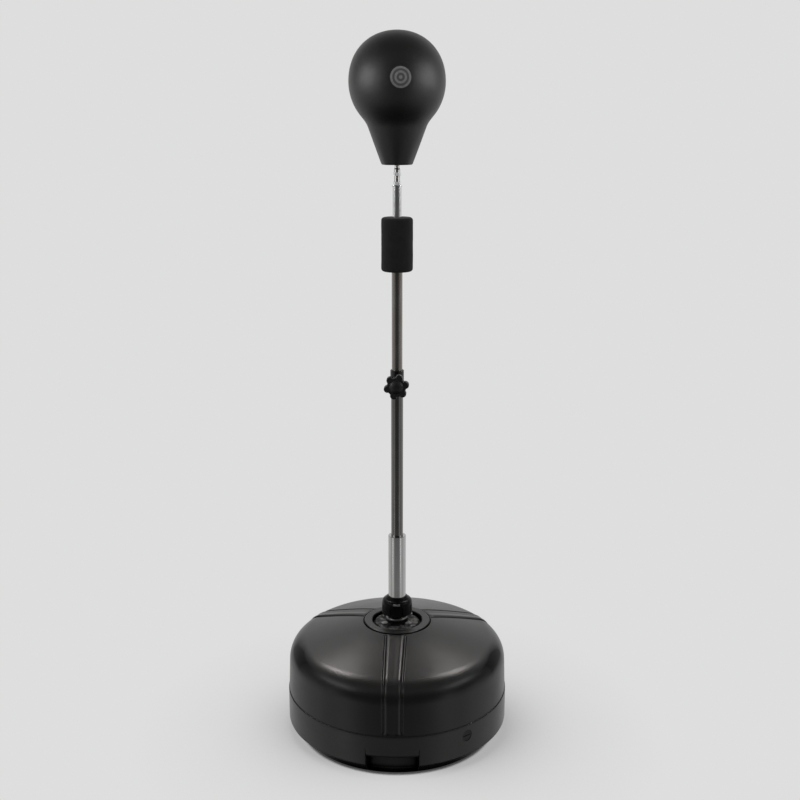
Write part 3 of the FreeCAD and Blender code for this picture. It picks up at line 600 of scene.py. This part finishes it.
# Cuts in the tank. A reach is how far from the tank's axis a cut starts and ends.
PLUG_RECESS_R = 12.5
PLUG_RECESS_REACH = (235.0, 250.0)
PLUG_BORE_R = 9.3
PLUG_BORE_REACH = (210.0, 240.0)
PAD_COUNT = 6
PAD_CIRCLE_R = 190.0
PAD_RECESS_R = 15.1
PAD_RECESS_Z = (0.0, 4.0)
INSERT_R = 6.0
INSERT_BORE_R = 6.1
INSERT_BORE_Z = (220.0, 245.0)


def foot_sections(gripped):
    """The outline from the underside's centre to below the step, as (points, number of rows)."""
    foot = [(0.0, UNDERSIDE_Z), (UNDERSIDE_R, UNDERSIDE_Z)]
    foot += corner_round((FOOT_R, UNDERSIDE_Z + FOOT_ROUND), FOOT_ROUND, -80, -25, 4)
    edge_r = BASE_R - LIP_ROUND
    if gripped:
        wall = [foot[-1], GRIP_FLOOR]
        floor_centre = (GRIP_BACK_R + GRIP_FLOOR_ROUND, GRIP_FLOOR[1] + GRIP_FLOOR_ROUND)
        under = [GRIP_FLOOR] + corner_round(floor_centre, GRIP_FLOOR_ROUND, -90, -180, 4)
        top_centre = (GRIP_BACK_R + GRIP_TOP_ROUND, GRIP_TOP_Z - GRIP_TOP_ROUND)
        band = [under[-1]] + corner_round(top_centre, GRIP_TOP_ROUND, 180, 90, 8)
        band += corner_round((edge_r, GRIP_TOP_Z + LIP_ROUND), LIP_ROUND, -90, 0, 5)
    else:
        wall = [foot[-1], (LIP_R, LIP_Z)]
        under = [wall[-1]] + corner_round((edge_r, LIP_Z + LIP_ROUND), LIP_ROUND, -90, -5, 6)
        band = [under[-1], (BASE_R, GRIP_TOP_Z)]
    band.append(BAND_TOP)
    return (foot, 14), (wall, 8), (under, 12), (band, 44)


def body_sections():
    """The outline from below the step to the middle of the hub seat, as (points, number of rows)."""
    step = [BAND_TOP] + corner_round((BASE_R - STEP_ROUND, STEP_Z - STEP_ROUND), STEP_ROUND, 0, 80, 5)
    step += [(BODY_R - 0.3, STEP_Z + 0.4), (BODY_R, STEP_Z + 2.2), (BODY_R - 0.1, STEP_Z + 5)]
    side = [step[-1], SIDE_TOP]
    shoulder = [SIDE_TOP] + cubic([SIDE_TOP, *SHOULDER_PULLS, SHOULDER_TOP], 24)
    dome_top = (RIM_R + 3, RIM_TOP_Z - 0.1)
    dome = [SHOULDER_TOP] + cubic([SHOULDER_TOP, *DOME_PULLS, dome_top], 24)
    rim = [dome_top] + corner_round((RIM_R + RIM_ROUND, RIM_TOP_Z - RIM_ROUND), RIM_ROUND, 80, 175, 5)
    rim.append((RIM_R, HUB_SEAT_Z + 0.6))
    seat = [rim[-1], (RIM_R - 0.6, HUB_SEAT_Z), (0.0, HUB_SEAT_Z)]
    return (step, 14), (side, 22), (shoulder, 30), (dome, 40), (rim, 12), (seat, 8)


def base_outline(gripped):
    """The tank's outline, through a grip recess or not, with the same number of rows."""
    rows = [(0.0, UNDERSIDE_Z)]
    for points, count in foot_sections(gripped) + body_sections():
        rows += resample(points, count)[1:]
    return rows


def base_columns():
    """Every column as (rib, offset on the wall or None, share of the way to the next rib)."""
    half = [first + spacing * i for first, spacing, count in COLUMN_STRETCHES for i in range(count)]
    near_rib = [-x for x in reversed(half[1:])] + half
    columns = []
    for rib in range(RIB_COUNT):
        columns += [(rib, wall_x, 0.0) for wall_x in near_rib]
        columns += [(rib, None, i / PLAIN_COLUMNS) for i in range(1, PLAIN_COLUMNS)]
    return columns


def rib_offset(wall_x, radius):
    """How far from its rib's middle a column is at a radius."""
    hub_x = math.copysign(between(RIB_SPREAD, abs(wall_x)), wall_x)
    return lerp(hub_x, wall_x, (radius - RIM_R) / (BASE_R - RIM_R))


def column_angle(column, radius):
    rib, wall_x, share = column
    reach = min(max(radius, RIM_R), BASE_R)
    third = math.tau / RIB_COUNT
    if wall_x is None:
        edge = math.asin(rib_offset(RIB_REACH, reach) / reach)
        turn = lerp(edge, third - edge, share)
    else:
        turn = math.asin(rib_offset(wall_x, reach) / reach)
    return turn + rib * third - math.pi / 2


def rib_relief(wall_x, radius, height):
    """How far the surface is pressed in: by the grooves, and outwards by the raised band between them."""
    if wall_x is None or height < STEP_Z:
        return 0.0
    fade = smooth_step((height - STEP_Z - 2) / 6.0) * smooth_step((radius - RIM_R) / 5.0)
    off = abs(wall_x) - GROOVE_MIDDLE
    depth = 0.0
    if abs(off) < GROOVE_HALF:
        depth = GROOVE_DEPTH * (0.5 + 0.5 * math.cos(math.pi * off / GROOVE_HALF))
    if abs(wall_x) < RAISED_HALF:
        share = abs(wall_x) / RAISED_HALF
        depth -= RAISED_HEIGHT * smooth_step((1 - share) * 3.2) * (0.45 + 0.55 * smooth_step(share * 1.6))
    return depth * fade


def tank_point(plain, gripped, normal, column):
    """The tank's point where a row meets a column, in mm, with the relief and a faint waviness."""
    wall_x = column[1]
    grip = 0.0
    if wall_x is not None:
        grip = 1 - smooth_step((abs(wall_x) - GRIP_HALF) / GRIP_EDGE + 0.5)
    radius = lerp(plain[0], gripped[0], grip)
    height = lerp(plain[1], gripped[1], grip)
    turn = column_angle(column, radius)
    spot = polar(radius, height, turn)
    press = rib_relief(wall_x, radius, height)
    if height > 12 and radius > RIM_R + 4:
        press += WAVE_HEIGHT * noise.noise(spot * 0.02)
    return spot - polar(normal.x * press, normal.y * press, turn)


def tank_mesh():
    plain = base_outline(False)
    gripped = base_outline(True)
    columns = base_columns()
    vertices = []
    for i in range(1, len(plain) - 1):
        before, after = plain[i - 1], plain[i + 1]
        normal = Vector((after[1] - before[1], before[0] - after[0])).normalized()
        for column in columns:
            vertices.append(tank_point(plain[i], gripped[i], normal, column) * MM)
    rows = len(plain) - 2
    faces = grid_faces(rows, len(columns))
    close_on_axis(vertices, faces, 0, len(columns), plain[0][1])
    close_on_axis(vertices, faces, rows - 1, len(columns), plain[-1][1])
    return mesh_object("tank", vertices, faces, MATERIALS["tank_plastic"])


def plug_tools():
    """The plug's recess and bore, along the direction in which the plug points out of the tank."""
    low, high = box_mm("drain_plug")
    direction = Vector((low[0] + high[0], low[1] + high[1], 0)).normalized()
    lift = Vector((0, 0, (low[2] + high[2]) / 2))
    recess = [direction * reach + lift for reach in PLUG_RECESS_REACH]
    bore = [direction * reach + lift for reach in PLUG_BORE_REACH]
    return [cutter("recess_tool", PLUG_RECESS_R, *recess, 64), cutter("bore_tool", PLUG_BORE_R, *bore)]


def upright_tool(name, radius, x, y, heights, segments):
    return cutter(name, radius, Vector((x, y, heights[0])), Vector((x, y, heights[1])), segments)


def make_tank():
    tank = tank_mesh()
    tools = plug_tools()
    for i in range(PAD_COUNT):
        x, y, _ = polar(PAD_CIRCLE_R, 0, math.tau * i / PAD_COUNT)
        tools.append(upright_tool("pad_tool", PAD_RECESS_R, x, y, PAD_RECESS_Z, 48))
    insert_reach = box_mm("hub_inserts")[1][0] - INSERT_R
    for x, y in ((-1, -1), (-1, 1), (1, -1), (1, 1)):
        tools.append(upright_tool("insert_tool", INSERT_BORE_R, x * insert_reach, y * insert_reach,
                                  INSERT_BORE_Z, 32))
    cut_away(tank, tools, 38)
    stand_in(tank, "base_shell", "base")


# ---- ball ----------------------------------------------------------------------------------
BALL_CENTRE_Z = 1387.0
BALL_FULLNESS = 0.59
MOUTH_R = 28.2
CUFF_R = 32.3
CUFF_HEIGHT = 4.0
NECK_TOP = (58.2, 1301.6)
NECK_PULL = (61.9, 1310.9)
BELLY_ANGLE = math.radians(-40)
BELLY_PULL = (-6.3, -7.8)
SOFTNESS = 0.5
PUCKER_COUNT = 8
PUCKER_DEPTH = 0.35
PUCKER_LOW_Z = 1236.0
PUCKER_FADE = 75.0
STUD_HOLE_R = 9.4
STUD_HOLE_DEPTH = 30.0
VALVE_HOLE_R = 4.05
VALVE_HOLE_DEPTH = 18.0
VALVE_OFFSET = 18.0


def ball_outline():
    """The light-bulb outline of the ball from the bottom's centre to the top."""
    low, high = box_mm("ball_cover")
    bottom = low[2]
    wide = high[0]
    tall = high[2] - BALL_CENTRE_Z
    cuff = (CUFF_R, bottom + CUFF_HEIGHT)
    outline = [(0.0, bottom), (20.0, bottom), (MOUTH_R, bottom)]
    outline += cubic([(MOUTH_R, bottom), (CUFF_R - 1.7, bottom), (CUFF_R - 0.9, bottom + 1.6), cuff], 6)
    outline += resample([cuff, NECK_TOP], 26)[1:]
    belly = (wide * math.cos(BELLY_ANGLE), BALL_CENTRE_Z + tall * math.sin(BELLY_ANGLE))
    belly_pull = (belly[0] + BELLY_PULL[0], belly[1] + BELLY_PULL[1])
    outline += cubic([NECK_TOP, NECK_PULL, belly_pull, belly], 12)
    for i in range(1, 27):
        turn = lerp(BELLY_ANGLE, 0, i / 26)
        outline.append((wide * math.cos(turn), BALL_CENTRE_Z + tall * math.sin(turn)))
    outline += cubic([(wide, BALL_CENTRE_Z), (wide, BALL_CENTRE_Z + BALL_FULLNESS * tall),
                      (BALL_FULLNESS * wide, high[2]), (0.0, high[2])], 36)
    return outline


def soften_ball(spot):
    """Slight softness of the inflated skin, with faint puckers towards the neck."""
    soft = noise.noise(Vector((spot.x * 0.012, spot.y * 0.012, spot.z * 0.010))) - 0.35
    neck = 1 - smooth_step((spot.z - PUCKER_LOW_Z) / PUCKER_FADE)
    pucker = math.cos(PUCKER_COUNT * math.atan2(spot.y, spot.x)) - 1
    radial = Vector((spot.x, spot.y, 0)).normalized()
    return spot + radial * (SOFTNESS * soft + PUCKER_DEPTH * neck * pucker)


def make_ball():
    ball = turned("ball_skin_cover", ball_outline(), MATERIALS["ball_skin"], 160, soften_ball)
    bottom = box_mm("ball_cover")[0][2]
    below = bottom - 5
    stud_hole = (below, bottom + STUD_HOLE_DEPTH)
    valve_hole = (below, bottom + VALVE_HOLE_DEPTH)
    tools = [upright_tool("stud_tool", STUD_HOLE_R, 0, 0, stud_hole, 48),
             upright_tool("valve_tool", VALVE_HOLE_R, 0, VALVE_OFFSET, valve_hole, 32)]
    cut_away(ball, tools, 45)
    stand_in(ball, "ball_cover", "mast_upper")


# ---- foam grip -----------------------------------------------------------------------------
FOAM_BORE_R = 11.2
FOAM_BORE_ROUND = 1.4
FOAM_ROUND = 6.0


def foam_outline():
    low, high = box_mm("foam_grip")
    radius = high[0]
    bottom = low[2]
    top = high[2]
    bore_r = FOAM_BORE_R + FOAM_BORE_ROUND
    edge_r = radius - FOAM_ROUND
    outline = corner_round((bore_r, top - FOAM_BORE_ROUND), FOAM_BORE_ROUND, 180, 90, 4)
    outline += resample([(FOAM_BORE_R + 3, top), (edge_r - 0.5, top)], 8)
    outline += corner_round((edge_r, top - FOAM_ROUND), FOAM_ROUND, 90, 0, 10)[1:]
    outline += resample([(radius, top - 8), (radius, bottom + 8)], 30)
    outline += corner_round((edge_r, bottom + FOAM_ROUND), FOAM_ROUND, 0, -90, 10)
    outline += resample([(edge_r - 1.5, bottom), (FOAM_BORE_R + 3, bottom)], 8)
    outline += corner_round((bore_r, bottom + FOAM_BORE_ROUND), FOAM_BORE_ROUND, -90, -180, 4)
    return outline


def make_foam():
    roll = turned_ring("foam_roll", foam_outline(), MATERIALS["foam"], 128)
    for vertex in roll.data.vertices:
        radial = Vector((vertex.co.x, vertex.co.y, 0))
        if radial.length > 20 * MM:
            dent = noise.noise(vertex.co * 45) - 0.5
            lump = noise.noise(vertex.co * 210)
            vertex.co += radial.normalized() * (0.40 * dent + 0.12 * lump - 0.10) * MM
    stand_in(roll, "foam_grip", "mast_upper")


# ---- coil spring, in two halves ------------------------------------------------------------
SPRING_R = 20.5
WIRE_R = 3.5
WIRE_SIDES = 20
STEPS_PER_TURN = 48
SPRING_LOW_Z = 251.0
SPRING_RISE = 39.5
CLOSED_TURNS = 0.75
CLOSED_PITCH = 7.2
ACTIVE_TURNS = 3.0
SPRING_TURNS = 2 * CLOSED_TURNS + ACTIVE_TURNS


def spring_point(turns):
    """Centre line of the wire after a number of turns: closely wound at both ends."""
    closed_rise = CLOSED_TURNS * CLOSED_PITCH
    rises = ((0.0, 0.0), (CLOSED_TURNS, closed_rise),
             (SPRING_TURNS - CLOSED_TURNS, SPRING_RISE - closed_rise), (SPRING_TURNS, SPRING_RISE))
    return polar(SPRING_R, SPRING_LOW_Z + between(rises, turns), math.tau * turns)


def make_spring_half(name, start, end):
    """The wire between two numbers of turns."""
    steps = int((end - start) * STEPS_PER_TURN)
    vertices = []
    for i in range(steps + 1):
        centre = spring_point(lerp(start, end, i / steps))
        outward = Vector((centre.x, centre.y, 0)).normalized()
        for j in range(WIRE_SIDES):
            angle = math.tau * j / WIRE_SIDES
            offset = outward * math.cos(angle) + Vector((0, 0, 1)) * math.sin(angle)
            vertices.append((centre + offset * WIRE_R) * MM)
    faces = grid_faces(steps + 1, WIRE_SIDES)
    faces.append(tuple(range(WIRE_SIDES)))
    faces.append(tuple(steps * WIRE_SIDES + j for j in range(WIRE_SIDES)))
    half = mesh_object(name, vertices, faces, MATERIALS["spring_steel"])
    half.data.set_sharp_from_angle(angle=math.radians(60))
    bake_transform(half)
    return half


def make_spring():
    middle = SPRING_TURNS / 2
    lower_half = make_spring_half("spring_lower_half", 0.0, middle)
    make_spring_half("spring_upper_half", middle, SPRING_TURNS)
    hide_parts("coil_spring")


# ---- studio --------------------------------------------------------------------------------
PALE = 0.7305
ROOM_DARK = 0.075
ROOM_BRIGHT = 0.75
FLOOR_HALF = 30.0
CAMERA_DISTANCE = 2.289
CAMERA_HEIGHT = 1.308
CAMERA_TURN = math.radians(2.4)
CAMERA_TIP = math.radians(13.8)
SENSOR_WIDTH = 36.0
LENS = 50.625
LENS_SHIFT = 0.003625


def floor_with_painted_shadow(m):
    """Brightness of the floor with a painted shadow from ambient occlusion: softly shaded round the base,
    more at its sides, and darkest under it.
    """
    closeness = m.maths("SUBTRACT", 1.0, m.openness(0.36, 16))
    across = m.split(m.vector_maths("NORMALIZE", m.place).outputs[0])["X"]
    sideways = m.maths("MULTIPLY", across, across)
    side_strength = m.span(across, -0.5, 0.5, 0.95, 1.25)
    side = m.maths("MULTIPLY", m.maths("POWER", closeness, 1.25), side_strength)
    front = m.maths("MULTIPLY", closeness, 0.28)
    dark = m.maths("ADD", m.maths("MULTIPLY", side, sideways),
                   m.maths("MULTIPLY", front, m.maths("SUBTRACT", 1.0, sideways)))
    shade = m.maths("SUBTRACT", 1.0, m.maths("MINIMUM", dark, 0.42))
    shade = m.maths("MULTIPLY", shade, m.span(m.openness(0.012), 0.35, 0.60, 0.12, 1.0))
    dust = m.span(m.noise(260.0, 3.0, 0.6), 0.3, 0.7, 0.994, 1.006)
    return m.maths("MULTIPLY", m.maths("MULTIPLY", shade, dust), PALE)


def make_floor():
    """A pale floor with a painted shadow for the camera, dim for bounced light and clear in reflections."""
    m = Material("floor")
    seen = m.node("ShaderNodeEmission", Color=floor_with_painted_shadow(m))
    bounce = m.node("ShaderNodeEmission", Color=(0.10, 0.10, 0.10, 1.0))
    clear = m.tree.nodes.new("ShaderNodeBsdfTransparent")
    path = m.tree.nodes.new("ShaderNodeLightPath")
    hidden = m.mix_shader(path.outputs["Is Glossy Ray"], bounce.outputs[0], clear.outputs[0])
    m.join(m.mix_shader(path.outputs["Is Camera Ray"], hidden, seen.outputs[0]), m.output.inputs[0])
    corners = [(x * FLOOR_HALF, y * FLOOR_HALF, 0) for x, y in ((-1, -1), (1, -1), (1, 1), (-1, 1))]
    mesh_object("floor", corners, [(0, 1, 2, 3)], m.material, False)


def room_level(w):
    """Brightness of the room, by direction, for every ray but the camera's; the camera stands at -Y."""
    height = w.split(w.place)["Z"]
    flat = w.vector_maths("MULTIPLY", w.place, (1.0, 1.0, 0.0))
    level_way = w.vector_maths("NORMALIZE", flat.outputs[0])
    back = w.split(level_way.outputs[0])["Y"]
    # The dark side, behind the camera, is brighter near the floor and higher up.
    dark_side = w.span(height, -0.52, -0.27, 0.42, ROOM_DARK)
    dark_side = w.maths("ADD", dark_side, w.span(height, 0.42, 0.68, 0.0, 0.36))
    # The bright side, behind the object, reaches further round below the horizon.
    bright_from = w.span(height, -0.12, 0.12, -0.95, 0.10)
    bright_width = w.span(height, -0.12, 0.12, 1.30, 0.75)
    ahead = w.maths("DIVIDE", w.maths("SUBTRACT", back, bright_from), bright_width)
    ahead = w.span(ahead, 0.0, 1.0)
    room = w.maths("ADD", w.maths("MULTIPLY", ahead, ROOM_BRIGHT),
                   w.maths("MULTIPLY", w.maths("SUBTRACT", 1.0, ahead), dark_side))
    # A pool of light low down on each side of the camera.
    pool = w.maths("ABSOLUTE", w.maths("ADD", back, 0.60))
    pool = w.maths("MULTIPLY", w.span(pool, 0.0, 0.26, 0.42, 0.0), w.span(height, -0.30, -0.12, 1.0, 0.0))
    room = w.maths("ADD", room, pool)
    # Dimmer overhead and near the floor, almost black straight down.
    room = w.maths("MULTIPLY", room, w.span(height, 0.45, 0.90, 1.0, 0.22))
    room = w.maths("MULTIPLY", room, w.span(height, -0.46, -0.26, 0.86, 1.0))
    return w.maths("MULTIPLY", room, w.span(height, -0.78, -0.55, 0.02, 1.0))


def make_world():
    """An even pale surround for the camera, and the graded room for every other ray."""
    world = bpy.data.worlds.new("studio")
    scene.world = world
    world.use_nodes = True
    w = Nodes(world.node_tree, "Generated")
    output = w.tree.nodes.new("ShaderNodeOutputWorld")
    unseen = w.node("ShaderNodeBackground", Color=room_level(w))
    seen = w.node("ShaderNodeBackground", Color=(PALE, PALE, PALE, 1.0))
    path = w.tree.nodes.new("ShaderNodeLightPath")
    shown = w.mix_shader(path.outputs["Is Camera Ray"], unseen.outputs[0], seen.outputs[0])
    w.join(shown, output.inputs[0])


def soft_box(name, place, target, size, power, tint=(1.0, 1.0, 1.0), spread=180):
    """An area lamp that faces a target; a spread in degrees below 180 narrows its beam."""
    light = bpy.data.lights.new(name, "AREA")
    light.shape = "RECTANGLE"
    light.size, light.size_y = size
    light.energy = power
    light.color = tint
    light.spread = math.radians(spread)
    lamp = bpy.data.objects.new(name, light)
    scene.collection.objects.link(lamp)
    lamp.location = place
    lamp.rotation_euler = (Vector(target) - Vector(place)).to_track_quat("-Z", "Y").to_euler()
    return lamp


def make_lamps():
    """Boxes beside the ball, behind the base and overhead, and two strips that only show in reflections."""
    for name, x, y, power in (("left_box", -2.0, -0.80, 6.4), ("right_box", 2.0, -0.50, 5.6)):
        soft_box(name, (x, y, 1.72), (0, 0, 1.48), (2.1, 1.15), power, spread=70)
    for name, x, y, power in (("left_rear_box", -1.35, 1.20, 0.68), ("right_rear_box", 1.20, 1.25, 0.60)):
        soft_box(name, (x, y, 2.85), (0, -0.1, 0.12), (0.8, 0.5), power, (1.0, 0.95, 0.92), 24)
    for name, x, y, power in (("left_strip", -0.57, -0.41, 0.030), ("right_strip", 0.51, -0.48, 0.033)):
        strip = soft_box(name, (x, y, 0.19), (0, 0, 0.19), (0.06, 0.22), power)
        strip.visible_diffuse = False
        strip.visible_camera = False
    soft_box("top_box", (0, -0.3, 3.4), (0, 0, 0), (2.0, 2.0), 22).visible_glossy = False


def make_camera():
    camera = bpy.data.cameras.new("camera")
    camera.sensor_width = SENSOR_WIDTH
    camera.lens = LENS
    camera.shift_x = LENS_SHIFT
    stand = bpy.data.objects.new("camera", camera)
    scene.collection.objects.link(stand)
    stand.location = polar(CAMERA_DISTANCE, CAMERA_HEIGHT, CAMERA_TURN - math.pi / 2)
    stand.rotation_euler = (math.pi / 2 - CAMERA_TIP, 0, CAMERA_TURN)
    scene.camera = stand


# ---- build ---------------------------------------------------------------------------------
for name, look in CAD_LOOKS.items():
    mesh = nodes[name].data
    mesh.materials.clear()
    mesh.materials.append(MATERIALS[look])

make_tank()
make_ball()
make_foam()
make_spring()
make_floor()
make_world()
make_lamps()
make_camera()
scene.view_settings.view_transform = "Standard"
